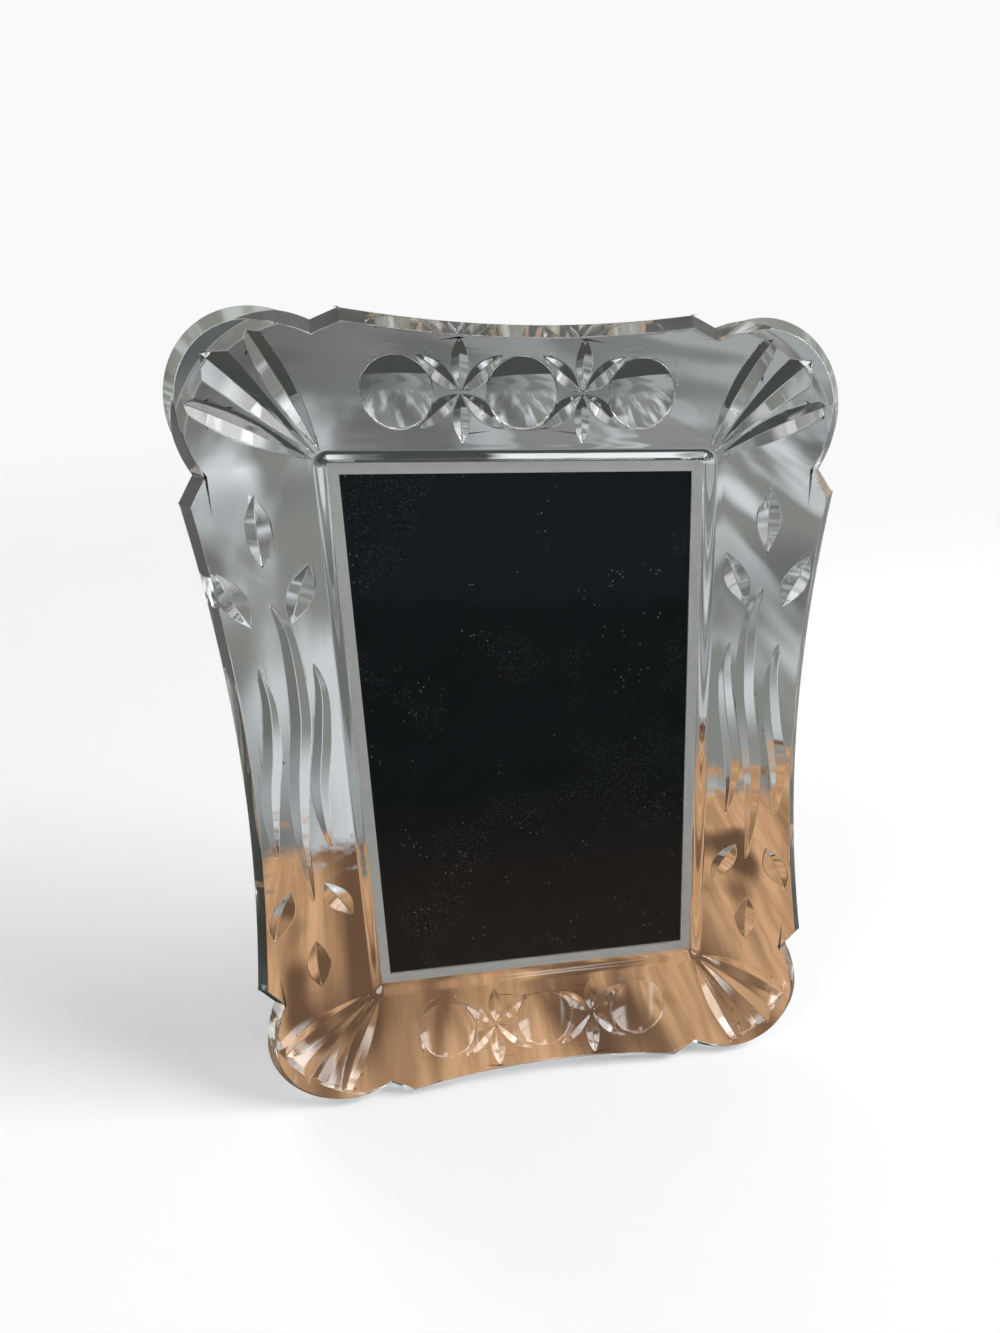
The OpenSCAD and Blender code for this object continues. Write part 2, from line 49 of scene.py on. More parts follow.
# The frame is modelled lying flat, window up and the pane's rear face at height 0.
# stoodUp then leans it back on its leg, as in the CAD.
windowSize = {
    "sightHalfWidth": 48.6 * mm,
    "sightHalfHeight": 76.1 * mm,
    "bandWidth": 2.6 * mm,
    "bevelWidth": 3.8 * mm,
    "bevelDepth": 1.9 * mm,
    "bevelSteps": 16,
    "paneThickness": 3.1 * mm,
    "cornerRadius": 4.4 * mm,
    "rearGap": 0.03 * mm,  # keeps the pane's rear face off the liner
}
borderSize = {
    "coveWidth": 29.8 * mm,
    "coveRise": 9.8 * mm,
    "lobeRadius": 19.8 * mm,
    "sideSag": 6.8 * mm,
    "barSag": 4.4 * mm,
    "sideChamfer": 43.5,
    "barChamfer": 33.2,
    "sideEndShare": 1.15,
    "barEndShare": 1.05,
    "chamferRunShare": 2.1,
    "arcSteps": 48,
    "runSteps": 14,
    "cornerSteps": 44,
    "lobeSteps": 360,
    "bowSteps": 1440,
    "overrun": 1.0 * mm,
}
cutSize = {
    "rayAngles": (26, 45, 64),
    "rayReach": (1.045, 1.12, 1.045),
    "rayWidth": 5.2 * mm,
    "rayDepth": 1.3 * mm,
    "rayStart": 0.25,  # share of the bevel that a ray runs into
    "barLine": 0.466,
    "thumbRadius": 9.2 * mm,
    "thumbDepth": 1.9 * mm,
    "thumbRings": 24,
    "thumbSteps": 120,
    "starPitch": 16.1 * mm,
    "petalAngles": (39, 90, 141, 219, 270, 321),
    "petalShares": (1, 0.91, 1, 1, 0.91, 1),
    "petalLength": 12.6 * mm,
    "petalSlant": 1.1,
    "petalStart": 0.06,
    "petalWidth": 4.4 * mm,
    "petalDepth": 1.2 * mm,
    "leafWidth": 6.4 * mm,
    "leafDepth": 1.5 * mm,
    "stemWidth": 6.0 * mm,
    "stemDepth": 1.1 * mm,
    "stemShares": (0.9, 1, 0.9),
    "stemSteps": 12,
    "stemSwell": 0.6,
    "stemLift": 0.4 * mm,
    "stemEndRise": 0.15 * mm,
    "facet": 0.4 * mm,
    "weld": 0.04 * mm,
    "edgeRadius": 0.22 * mm,
    "edgeSegments": 2,
    "edgeAngle": 11,
    "softAngle": 38,
    "faceWeight": 50,
}
# Leaf ends and stem points, in shares of the border's width and of the window's half height
leaves = (
    ((0.51, 0.87), (0.515, 0.655)),
    ((0.12, 0.655), (0.335, 0.468)),
    ((0.89, 0.645), (0.68, 0.467)),
    ((0.34, -0.479), (0.1, -0.623)),
    ((0.66, -0.49), (0.87, -0.662)),
    ((0.49, -0.708), (0.49, -0.903)),
)
stems = (
    ((0.185, 0.33), (0.145, 0.22), (0.19, 0.06), (0.26, -0.1), (0.262, -0.22), (0.225, -0.35)),
    ((0.49, 0.53), (0.38, 0.41), (0.36, 0.15), (0.45, -0.09), (0.49, -0.3), (0.455, -0.55)),
    ((0.665, 0.33), (0.615, 0.2), (0.645, 0.04), (0.71, -0.1), (0.735, -0.22), (0.735, -0.35)),
)
standing = {"lean": 10, "legOpen": 24, "pinHeight": 20 * mm, "pinBehind": -7.1 * mm}

windowHalfWidth = windowSize["sightHalfWidth"] + windowSize["bandWidth"] + windowSize["bevelWidth"]
windowHalfHeight = windowSize["sightHalfHeight"] + windowSize["bandWidth"] + windowSize["bevelWidth"]
rimHalfWidth = windowHalfWidth + borderSize["coveWidth"]
rimHalfHeight = windowHalfHeight + borderSize["coveWidth"]
wall = windowSize["paneThickness"] + windowSize["bevelDepth"]
coveRadius = (borderSize["coveWidth"] ** 2 + borderSize["coveRise"] ** 2) / (2 * borderSize["coveRise"])
arcHeight = wall + coveRadius
rimHeight = wall + borderSize["coveRise"]
rimAngle = math.asin(borderSize["coveWidth"] / coveRadius)
rimSlope = math.tan(rimAngle)
rimBackOut = (coveRadius + wall) * math.sin(rimAngle)
rimBackHeight = arcHeight - (coveRadius + wall) * math.cos(rimAngle)
lobeBackRadius = borderSize["lobeRadius"] + (rimHeight - rimBackHeight) * rimSlope
lobeX = rimHalfWidth - borderSize["lobeRadius"]
lobeY = rimHalfHeight - borderSize["lobeRadius"]
lean = math.radians(standing["lean"])
pinWorld = Vector(next(j for j in frame["joints"] if j["name"] == "leg_hinge")["pos_m"])
standY = pinWorld.y - standing["pinHeight"] * math.sin(lean) + standing["pinBehind"] * math.cos(lean)
floorLevel = standing["pinHeight"] * math.cos(lean) + standing["pinBehind"] * math.sin(lean) - pinWorld.z
stoodUp = Matrix.Translation((0, standY, -floorLevel)) @ Matrix.Rotation(math.radians(90) - lean, 4, "X")
pinFlat = Matrix.Translation((0, standing["pinHeight"], standing["pinBehind"]))
legOpened = pinFlat @ Matrix.Rotation(math.radians(standing["legOpen"]), 4, "X") @ pinFlat.inverted()


# Workshop habits: each step works on one piece alone

def alone(piece):
    bpy.ops.object.select_all(action="DESELECT")
    piece.select_set(True)
    bpy.context.view_layer.objects.active = piece


def editing(piece):
    alone(piece)
    bpy.ops.object.mode_set(mode="EDIT")
    bpy.ops.mesh.select_mode(type="VERT")


def edited():
    bpy.ops.object.mode_set(mode="OBJECT")
    return bpy.context.object


def pick(piece, test):
    bpy.ops.mesh.select_all(action="DESELECT")
    shape = bmesh.from_edit_mesh(piece.data)
    for corner in shape.verts:
        corner.select = bool(test(corner.co))
    shape.select_flush(True)
    bmesh.update_edit_mesh(piece.data)


def newest(name):
    piece = bpy.context.object
    piece.name = name
    piece.data.name = name
    return piece


def placed(piece, matrix):
    alone(piece)
    piece.matrix_world = matrix @ piece.matrix_world
    bpy.ops.object.transform_apply(location=True, rotation=True, scale=True)
    return piece


def modified(piece, kind, **settings):
    alone(piece)
    modifier = piece.modifiers.new(kind.title(), kind)
    for name, value in settings.items():
        setattr(modifier, name, value)
    bpy.ops.object.modifier_apply(modifier=modifier.name)
    return piece


def mirrored(piece, x=False, y=False):
    return modified(piece, "MIRROR", use_axis=(x, y, False), use_mirror_merge=False)


def joined(pieces):
    bpy.ops.object.select_all(action="DESELECT")
    for piece in pieces:
        piece.select_set(True)
    bpy.context.view_layer.objects.active = pieces[0]
    if len(pieces) > 1:
        bpy.ops.object.join()
    return pieces[0]


def combined(piece, tool, operation="DIFFERENCE"):
    modified(piece, "BOOLEAN", operation=operation, object=tool, solver="MANIFOLD")
    bpy.data.objects.remove(tool)
    return piece


def cornerPoint(place, name):
    bpy.ops.mesh.primitive_plane_add(size=mm)
    piece = newest(name)
    editing(piece)
    bpy.ops.mesh.select_all(action="SELECT")
    bpy.ops.mesh.merge(type="CENTER")
    bpy.ops.transform.translate(value=place)
    return piece


def pulled(by):
    bpy.ops.mesh.extrude_region_move(TRANSFORM_OT_translate={"value": by})


def turnedRound(angle, centre, axis, steps):
    bpy.ops.mesh.spin(steps=steps, angle=angle, center=centre, axis=axis)


# Glass: a section is drawn once and led round the window, then the outline is cut from it

def outward(x, y):
    dx = abs(x) - windowHalfWidth + windowSize["cornerRadius"]
    dy = abs(y) - windowHalfHeight + windowSize["cornerRadius"]
    return (math.hypot(dx, dy) if dx > 0 and dy > 0 else max(dx, dy)) - windowSize["cornerRadius"]


def frontHeight(place):
    out = outward(place.x, place.y)
    if out < 0:
        return wall
    if out < borderSize["coveWidth"]:
        return arcHeight - math.sqrt(coveRadius ** 2 - out ** 2)
    return rimHeight


# The bevel rises in a soft S from the pane to the cove
def pulledAlongBevel():
    steps = windowSize["bevelSteps"]
    before = 0
    for i in range(1, steps + 1):
        t = i / steps
        after = t * t * (3 - 2 * t)
        pulled((windowSize["bevelWidth"] / steps, 0, (after - before) * windowSize["bevelDepth"]))
        before = after


def makeDish():
    radius = windowSize["cornerRadius"]
    reach = math.hypot(lobeX - windowHalfWidth, lobeY - windowHalfHeight) + lobeBackRadius + radius
    straightX = windowHalfWidth - radius
    straightY = windowHalfHeight - radius
    steps = borderSize["arcSteps"]
    gap = windowSize["rearGap"]
    start = (windowHalfWidth - windowSize["bevelWidth"], -straightY, windowSize["paneThickness"])
    dish = cornerPoint(start, "glassBody")
    pulledAlongBevel()
    turnedRound(rimAngle, (windowHalfWidth, -straightY, arcHeight), (0, 1, 0), steps)
    pulled((reach - borderSize["coveWidth"], 0, 0))
    pulled((0, 0, rimBackHeight - rimHeight))
    pulled((rimBackOut - reach, 0, 0))
    turnedRound(-rimAngle, (windowHalfWidth, -straightY, arcHeight), (0, 1, 0), steps)
    pulled((-windowSize["bevelWidth"], 0, 0))
    bpy.ops.mesh.select_all(action="SELECT")
    for sideX, sideY in ((1, 1), (-1, 1), (-1, -1), (1, -1)):
        run = Vector((0, 2 * straightY * sideX, 0) if sideX == sideY else (-2 * straightX * sideY, 0, 0))
        for _ in range(borderSize["runSteps"]):
            pulled(run / borderSize["runSteps"])
        centre = (straightX * sideX, straightY * sideY, 0)
        turnedRound(-math.pi / 2, centre, (0, 0, 1), borderSize["cornerSteps"])
    bpy.ops.mesh.select_all(action="SELECT")
    bpy.ops.mesh.remove_doubles(threshold=touching)
    bpy.ops.mesh.fill_holes(sides=0)
    bpy.ops.mesh.select_all(action="SELECT")
    bpy.ops.mesh.normals_make_consistent(inside=False)
    pick(dish, lambda place: place.z < tiny)
    bpy.ops.transform.translate(value=(0, 0, gap))
    return edited()


def makeCone(name, centre, radius, flare, steps):
    over = borderSize["overrun"]
    low = radius + flare * (rimHeight + over) * rimSlope
    high = radius - flare * over * rimSlope
    place = (centre[0], centre[1], rimHeight / 2)
    bpy.ops.mesh.primitive_cone_add(
        vertices=steps, radius1=low, radius2=high, depth=rimHeight + 2 * over, location=place
    )
    return placed(newest(name), Matrix.Identity(4))


def makeBox(name, low, high):
    size = [b - a for a, b in zip(low, high)]
    bpy.ops.mesh.primitive_cube_add(size=1, location=[(a + b) / 2 for a, b in zip(low, high)], scale=size)
    return placed(newest(name), Matrix.Identity(4))


def makeBow(halfOut, halfAlong, sag):
    radius = (halfAlong ** 2 + sag ** 2) / (2 * sag)
    return makeCone("bow", (halfOut - sag + radius, 0), radius, -1, borderSize["bowSteps"])


def makeChamfer(start, angle, side):
    lobe = borderSize["lobeRadius"]
    low = (-lobe, 0 if side > 0 else -2 * lobe, -2 * rimHeight)
    high = (borderSize["chamferRunShare"] * lobe, 2 * lobe if side > 0 else 0, rimHeight)
    place = Matrix.Translation((start[0], start[1], rimHeight))
    turned = place @ Matrix.Rotation(math.radians(angle), 4, "Z")
    return placed(makeBox("chamfer", low, high), turned @ Matrix.Rotation(side * rimAngle, 4, "X"))


def makeOutline():
    lobe = borderSize["lobeRadius"]
    sideEnd = lobeY - borderSize["sideEndShare"] * lobe
    barEnd = lobeX - borderSize["barEndShare"] * lobe
    blockX = rimHalfWidth + lobe / 2
    blockY = rimHalfHeight + lobe / 2
    half = borderSize["overrun"] / 2
    outline = makeBox("outline", (-blockX, -blockY, -half), (blockX, blockY, rimHeight + half))
    combined(outline, mirrored(makeBow(rimHalfWidth, sideEnd, borderSize["sideSag"]), x=True))
    barBow = makeBow(rimHalfHeight, barEnd, borderSize["barSag"])
    placed(barBow, Matrix.Rotation(math.pi / 2, 4, "Z"))
    combined(outline, mirrored(barBow, y=True))
    sideChamfer = makeChamfer((rimHalfWidth, sideEnd), 180 - borderSize["sideChamfer"], -1)
    combined(outline, mirrored(sideChamfer, x=True, y=True))
    barChamfer = makeChamfer((barEnd, rimHalfHeight), -borderSize["barChamfer"], 1)
    combined(outline, mirrored(barChamfer, x=True, y=True))
    lobes = mirrored(makeCone("lobe", (lobeX, lobeY), lobe, 1, borderSize["lobeSteps"]), x=True, y=True)
    return combined(outline, lobes, "UNION")


def makeWheel(radius, width, depth):
    steps = 2 * round(math.pi * radius / cutSize["facet"])
    bpy.ops.mesh.primitive_cone_add(
        vertices=steps, radius1=radius, radius2=radius - 2 * depth, depth=width, location=(0, 0, width / 2)
    )
    wheel = newest("wheel")
    placed(wheel, Matrix.Identity(4))
    editing(wheel)
    pick(wheel, lambda place: place.z < tiny)
    bpy.ops.mesh.delete(type="ONLY_FACE")
    edited()
    upDown = (False, False, True)
    modified(wheel, "MIRROR", use_axis=upDown, use_mirror_merge=True, merge_threshold=touching)
    return placed(wheel, Matrix.Rotation(math.pi / 2, 4, "X"))


# A vee cut from one plan point to another, as the edge of a turning wheel leaves it
def mitreCut(start, end, width, depth):
    middle = (start + end) / 2
    rise = frontHeight(end) - frontHeight(start)
    run = (end - start).length
    chordHeight = (frontHeight(start) + frontHeight(end)) / 2
    sink = depth + chordHeight - frontHeight(middle)
    radius = ((run ** 2 + rise ** 2) / 4 + sink ** 2) / (2 * sink)
    heading = math.atan2(end.y - start.y, end.x - start.x)
    across = Vector((-math.sin(heading), math.cos(heading))) * mm
    roll = math.atan2(frontHeight(middle + across) - frontHeight(middle - across), 2 * mm)
    turn = Euler((roll, -math.atan2(rise, run), heading)).to_matrix().to_4x4()
    place = Matrix.Translation((middle.x, middle.y, chordHeight)) @ turn
    lifted = Matrix.Translation((0, 0, radius - sink))
    return placed(makeWheel(radius, width, depth), place @ lifted)


def direction(degrees):
    return Vector((math.cos(math.radians(degrees)), math.sin(math.radians(degrees))))


def cutCornerRays(body):
    corner = windowSize["cornerRadius"]
    width, depth = cutSize["rayWidth"], cutSize["rayDepth"]
    centre = Vector((windowHalfWidth - corner, windowHalfHeight - corner))
    start = corner + cutSize["rayStart"] * windowSize["bevelWidth"]
    for angle, share in zip(cutSize["rayAngles"], cutSize["rayReach"]):
        heading = direction(angle)
        reach = corner + share * borderSize["coveWidth"]
        ray = mitreCut(centre + start * heading, centre + reach * heading, width, depth)
        combined(body, mirrored(ray, x=True, y=True))


def makeThumb(centre):
    radius, depth = cutSize["thumbRadius"], cutSize["thumbDepth"]
    ball = (radius ** 2 + depth ** 2) / (2 * depth)
    thumb = cornerPoint((0, 0, -depth), "thumb")
    turnedRound(math.asin(radius / ball), (0, 0, ball - depth), (0, 1, 0), cutSize["thumbRings"])
    pulled((0, 0, 2 * depth))
    pulled((-radius, 0, 0))
    bpy.ops.mesh.select_all(action="SELECT")
    turnedRound(2 * math.pi, (0, 0, 0), (0, 0, 1), cutSize["thumbSteps"])
    bpy.ops.mesh.select_all(action="SELECT")
    bpy.ops.mesh.remove_doubles(threshold=touching)
    bpy.ops.mesh.normals_make_consistent(inside=False)
    edited()
    slope = math.asin(outward(centre.x, centre.y) / coveRadius)
    place = Matrix.Translation((centre.x, centre.y, frontHeight(centre)))
    return placed(thumb, place @ Matrix.Rotation(slope, 4, "X"))


def cutBars(body):
    line = windowHalfHeight + cutSize["barLine"] * borderSize["coveWidth"]
    pitch = cutSize["starPitch"]
    thumbs = [mirrored(makeThumb(Vector((0, line))), y=True)]
    thumbs.append(mirrored(makeThumb(Vector((2 * pitch, line))), x=True, y=True))
    combined(body, joined(thumbs))
    centre = Vector((pitch, line))
    for angle, share in zip(cutSize["petalAngles"], cutSize["petalShares"]):
        inner = cutSize["petalStart"] * cutSize["petalLength"] * direction(angle)
        outer = cutSize["petalSlant"] * share * cutSize["petalLength"] * direction(angle)
        petal = mitreCut(centre + inner, centre + outer, cutSize["petalWidth"], cutSize["petalDepth"])
        combined(body, mirrored(petal, x=True, y=True))


def borderPoint(shares):
    return Vector((windowHalfWidth + shares[0] * borderSize["coveWidth"], shares[1] * windowHalfHeight))


# A smooth path through the knots, each span shaped by its neighbours
def curvePath(knots, steps):
    def knot(i):
        return knots[max(0, min(len(knots) - 1, i))]
    path = []
    for i in range((len(knots) - 1) * steps + 1):
        k, t = divmod(i, steps)
        t /= steps
        a, b, c, d = knot(k - 1), knot(k), knot(k + 1), knot(k + 2)
        square = t ** 2 * (2 * a - 5 * b + 4 * c - d)
        cube = t ** 3 * (3 * b - a - 3 * c + d)
        path.append(b + (t * (c - a) + square + cube) / 2)
    return path


# Three corners of a stem's vee at each step of its path
def stemRings(knots, width):
    path = curvePath(knots, cutSize["stemSteps"])
    last = len(path) - 1
    slope = width / 2 / cutSize["stemDepth"]
    rings = []
    for i, place in enumerate(path):
        ahead = (path[min(last, i + 1)] - path[max(0, i - 1)]).normalized()
        across = Vector((-ahead.y, ahead.x))
        swell = math.sin(math.pi * i / last) ** cutSize["stemSwell"] if 0 < i < last else 0
        depth = swell * (cutSize["stemDepth"] + cutSize["stemEndRise"]) - cutSize["stemEndRise"]
        half = (depth + cutSize["stemLift"]) * slope
        left, right = place + half * across, place - half * across
        rings.append((
            Vector((left.x, left.y, frontHeight(left) + cutSize["stemLift"])),
            Vector((right.x, right.y, frontHeight(right) + cutSize["stemLift"])),
            Vector((place.x, place.y, frontHeight(place) - depth)),
        ))
    return rings


def makeStem(knots, width):
    rings = stemRings(knots, width)
    bpy.ops.mesh.primitive_circle_add(vertices=3, radius=mm, fill_type="NGON")
    stem = newest("stem")
    editing(stem)
    shape = bmesh.from_edit_mesh(stem.data)
    for corner, place in zip(shape.verts, rings[0]):
        corner.co = place
    bmesh.update_edit_mesh(stem.data)
    bpy.ops.mesh.select_all(action="SELECT")
    for before, after in zip(rings, rings[1:]):
        pulled((0, 0, 0))
        shape = bmesh.from_edit_mesh(stem.data)
        for corner in [v for v in shape.verts if v.select]:
            nearest = min(range(3), key=lambda i: (before[i] - corner.co).length)
            corner.co = after[nearest]
        bmesh.update_edit_mesh(stem.data)
    bpy.ops.mesh.select_all(action="SELECT")
    bpy.ops.mesh.normals_make_consistent(inside=False)
    return edited()


def cutSides(body):
    for start, end in leaves:
        leaf = mitreCut(borderPoint(start), borderPoint(end), cutSize["leafWidth"], cutSize["leafDepth"])
        combined(body, mirrored(leaf, x=True))
    for knots, share in zip(stems, cutSize["stemShares"]):
        stem = makeStem([borderPoint(k) for k in knots], share * cutSize["stemWidth"])
        combined(body, mirrored(stem, x=True))


# Fire polish: every cut edge is softened, and the broad faces keep their own shading
def polished(body):
    editing(body)
    bpy.ops.mesh.select_all(action="SELECT")
    bpy.ops.mesh.remove_doubles(threshold=cutSize["weld"])
    edited()
    modified(
        body, "BEVEL", width=cutSize["edgeRadius"], segments=cutSize["edgeSegments"], limit_method="ANGLE",
        angle_limit=math.radians(cutSize["edgeAngle"]), use_clamp_overlap=False,
    )
    alone(body)
    bpy.ops.object.shade_smooth_by_angle(angle=math.radians(cutSize["softAngle"]))
    modified(body, "WEIGHTED_NORMAL", mode="FACE_AREA", weight=cutSize["faceWeight"], keep_sharp=True)


# How far a rim face's normal points up, and at least how far it points away from the window
rimLean = {"least": 0.45, "most": 0.7, "outward": -0.4}


# The rim's end face leans like no other face, apart from cuts that face the window
def onRim(face):
    place, normal = face.center, face.normal
    beyond = Vector((max(0, abs(place.x) - windowHalfWidth), max(0, abs(place.y) - windowHalfHeight)))
    towards = beyond.normalized()
    out = normal.x * math.copysign(towards.x, place.x) + normal.y * math.copysign(towards.y, place.y)
    return rimLean["least"] < normal.z < rimLean["most"] and out > rimLean["outward"]


glassBody = makeDish()
combined(glassBody, makeOutline(), "INTERSECT")
cutCornerRays(glassBody)
cutBars(glassBody)
cutSides(glassBody)
polished(glassBody)
rimFaces = [face.index for face in glassBody.data.polygons if onRim(face)]
placed(glassBody, stoodUp)
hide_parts("glass_body")
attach(glassBody, "frame")
print("glass cut:", len(glassBody.data.polygons), "faces")


# Flock facings: soft sheets with rounded edges in place of the CAD's flat ones

backSize = {
    "boardHalfWidth": 50.7 * mm,
    "boardHalfHeight": 78.2 * mm,
    "boardRear": -4.3 * mm,
    "clothThickness": 0.6 * mm,
    "legTop": 16.8 * mm,
    "legShoulder": 5 * mm,
    "legTopHalfWidth": 13.5 * mm,
    "legFootHalfWidth": 27 * mm,
    "legFoot": -116.9 * mm,
    "legRear": -8.6 * mm,
    "footClear": 3.5 * mm,
    "plateRivets": (9.3 * mm, 30.88 * mm),
    "leafRivets": (8.37 * mm, 5.04 * mm),
    "plateHole": 1.25 * mm,
    "buttonRivets": (44 * mm, 0),
    "buttonHole": 1.55 * mm,
    "holeSteps": 48,
    "holeReach": 20 * mm,
    "softEdge": 0.24 * mm,
    "softSteps": 3,
    "softAngle": 40,
    "unevenness": 0.04 * mm,
    "unevenSeed": 5,
    "pileCuts": 22,
}


# A sheet shaped row by row, each row with its half width and its place along the sheet
def makeSheet(name, rear, rows):
    sheet = makeBox(name, (-mm, 0, rear - backSize["clothThickness"]), (mm, mm, rear))
    editing(sheet)
    pick(sheet, lambda place: place.y > mm / 2)
    bpy.ops.transform.translate(value=(0, rows[0][1] - mm, 0))
    pick(sheet, lambda place: place.y < mm / 2)
    bpy.ops.transform.translate(value=(0, rows[1][1], 0))
    for i, (halfWidth, along) in enumerate(rows):
        if i > 1:
            pulled((0, along - rows[i - 1][1], 0))
        else:
            pick(sheet, lambda place: abs(place.y - along) < tiny)
        wide = mm if i < 2 else rows[i - 1][0]
        bpy.ops.transform.resize(value=(halfWidth / wide, 1, 1), center_override=(0, 0, 0))
    bpy.ops.mesh.select_all(action="SELECT")
    bpy.ops.mesh.subdivide(number_cuts=backSize["pileCuts"])
    bpy.ops.transform.vertex_random(offset=backSize["unevenness"], normal=1.0, seed=backSize["unevenSeed"])
    return edited()


def holed(piece, place, radius):
    for side in (-1, 1):
        bpy.ops.mesh.primitive_cylinder_add(
            vertices=backSize["holeSteps"], radius=radius, depth=2 * backSize["holeReach"],
            location=(side * place[0], place[1], 0),
        )
        combined(piece, placed(newest("hole"), Matrix.Identity(4)))


def softened(piece, body, node):
    angle = math.radians(backSize["softAngle"])
    modified(
        piece, "BEVEL", width=backSize["softEdge"], segments=backSize["softSteps"], limit_method="ANGLE",
        angle_limit=angle,
    )
    alone(piece)
    bpy.ops.object.shade_smooth_by_angle(angle=angle)
    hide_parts(node)
    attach(piece, body)
    return piece


def makeBackFlock():
    half, tall = backSize["boardHalfWidth"], backSize["boardHalfHeight"]
    flock = makeSheet("backFlock", backSize["boardRear"], ((half, tall), (half, -tall)))
    holed(flock, backSize["plateRivets"], backSize["plateHole"])
    holed(flock, backSize["buttonRivets"], backSize["buttonHole"])
    return softened(placed(flock, stoodUp), "frame", "back_cloth")


def makeLegFlock():
    top, foot = backSize["legTopHalfWidth"], backSize["legFootHalfWidth"]
    shoulder = backSize["legTop"] - backSize["legShoulder"]
    rows = ((top, backSize["legTop"]), (top, shoulder), (foot, backSize["legFoot"]))
    flock = makeSheet("legFlock", backSize["legRear"], rows)
    holed(flock, backSize["leafRivets"], backSize["plateHole"])
    placed(flock, stoodUp @ legOpened)
    reach = 2 * backSize["legFootHalfWidth"]
    under = makeBox("floorCut", (-reach, -reach, -reach), (reach, 2 * reach, backSize["footClear"]))
    return softened(combined(flock, under), "leg", "leg_cloth")


legFlock = makeLegFlock()
backFlock = makeBackFlock()
print("back faced")


# Materials

class Wire:
    def __init__(self, finish, socket):
        self.finish, self.socket = finish, socket

    def worked(self, operation, first, second=0.0):
        return self.finish.node("ShaderNodeMath", {"operation": operation}, {0: first, 1: second})

    def __add__(self, other):
        return self.worked("ADD", self, other)

    def __radd__(self, other):
        return self.worked("ADD", other, self)

    def __sub__(self, other):
        return self.worked("SUBTRACT", self, other)

    def __rsub__(self, other):
        return self.worked("SUBTRACT", other, self)

    def __mul__(self, other):
        return self.worked("MULTIPLY", self, other)

    def __rmul__(self, other):
        return self.worked("MULTIPLY", other, self)

    def __lt__(self, other):
        return self.worked("LESS_THAN", self, other)

    def __gt__(self, other):
        return self.worked("GREATER_THAN", self, other)


class Graph:
    def __init__(self, tree, coordinates):
        self.tree = tree
        self.place = self.node("ShaderNodeTexCoord", out=coordinates)

    def node(self, kind, settings=None, inputs=None, out=0):
        made = self.tree.nodes.new(kind)
        for name, value in (settings or {}).items():
            setattr(made, name, value)
        for name, value in (inputs or {}).items():
            self.fed(made.inputs[name], value)
        return Wire(self, made.outputs[out]) if len(made.outputs) else None

    def fed(self, socket, value):
        if isinstance(value, Wire):
            self.tree.links.new(socket, value.socket)
        else:
            socket.default_value = value

    def noise(self, scale, detail, roughness, stretch=None, turn=(0, 0, 0)):
        place = self.place
        if stretch:
            inputs = {"Vector": place, "Scale": stretch, "Rotation": turn}
            place = self.node("ShaderNodeMapping", {}, inputs)
        inputs = {"Vector": place, "Scale": scale, "Detail": detail, "Roughness": roughness}
        return self.node("ShaderNodeTexNoise", {}, inputs)

    def cells(self, scale):
        return self.node("ShaderNodeTexVoronoi", {}, {"Vector": self.place, "Scale": scale}, "Distance")

    def along(self, axis):
        return self.node("ShaderNodeSeparateXYZ", {}, {"Vector": self.place}, axis)

    def light(self, kind):
        return self.node("ShaderNodeLightPath", out=kind)

    # True for light that matt surfaces behind the glass gather
    def litSoftly(self):
        return self.light("Diffuse Depth") > 0.5

    def spread(self, value, low, high, bottom=0.0, top=1.0):
        return self.node(
            "ShaderNodeMapRange", {"interpolation_type": "SMOOTHSTEP"},
            {"Value": value, "From Min": low, "From Max": high, "To Min": bottom, "To Max": top},
        )

    # Inputs 6 and 7 and output 2 are the colour sockets
    def blended(self, share, first, second):
        return self.node("ShaderNodeMix", {"data_type": "RGBA"}, {0: share, 6: first, 7: second}, 2)

    def bumped(self, height, depth, strength):
        return self.node("ShaderNodeBump", {}, {"Height": height, "Distance": depth, "Strength": strength})


class Finish(Graph):
    def __init__(self, name, **constants):
        self.material = bpy.data.materials.new(name)
        self.material.use_nodes = True
        self.material.node_tree.nodes.clear()
        super().__init__(self.material.node_tree, "Object")
        surface = self.node("ShaderNodeBsdfPrincipled")
        self.node("ShaderNodeOutputMaterial", {}, {"Surface": surface})
        self.shader = surface.socket.node
        self.feed(**constants)

    def feed(self, **values):
        for name, value in values.items():
            self.fed(self.shader.inputs[name.replace("_", " ")], value)

    def onto(self, *pieces):
        for piece in pieces:
            piece.data.materials.clear()
            piece.data.materials.append(self.material)


def colour(r, g, b):
    return (r, g, b, 1)


def grey(level):
    return colour(level, level, level)


# A noise is written as its scale, detail and roughness, then its stretch and turn if it has them.
# Each finish starts from plain values, which hold wherever its pattern isn't worked out.

glassLook = {
    "tint": colour(0.99, 0.998, 0.993),
    "index": 1.54,  # of refraction
    "waves": (38, 1, 0.4),
    "waveDepth": 0.25 * mm,
    "waveStrength": 0.35,
}
glassFinish = Finish(
    "cutCrystal", Base_Color=glassLook["tint"], Roughness=0.0, IOR=glassLook["index"],
    Transmission_Weight=1.0,
)
waves = glassFinish.noise(*glassLook["waves"])
glassFinish.feed(Normal=glassFinish.bumped(waves, glassLook["waveDepth"], glassLook["waveStrength"]))
glassFinish.onto(glassBody)

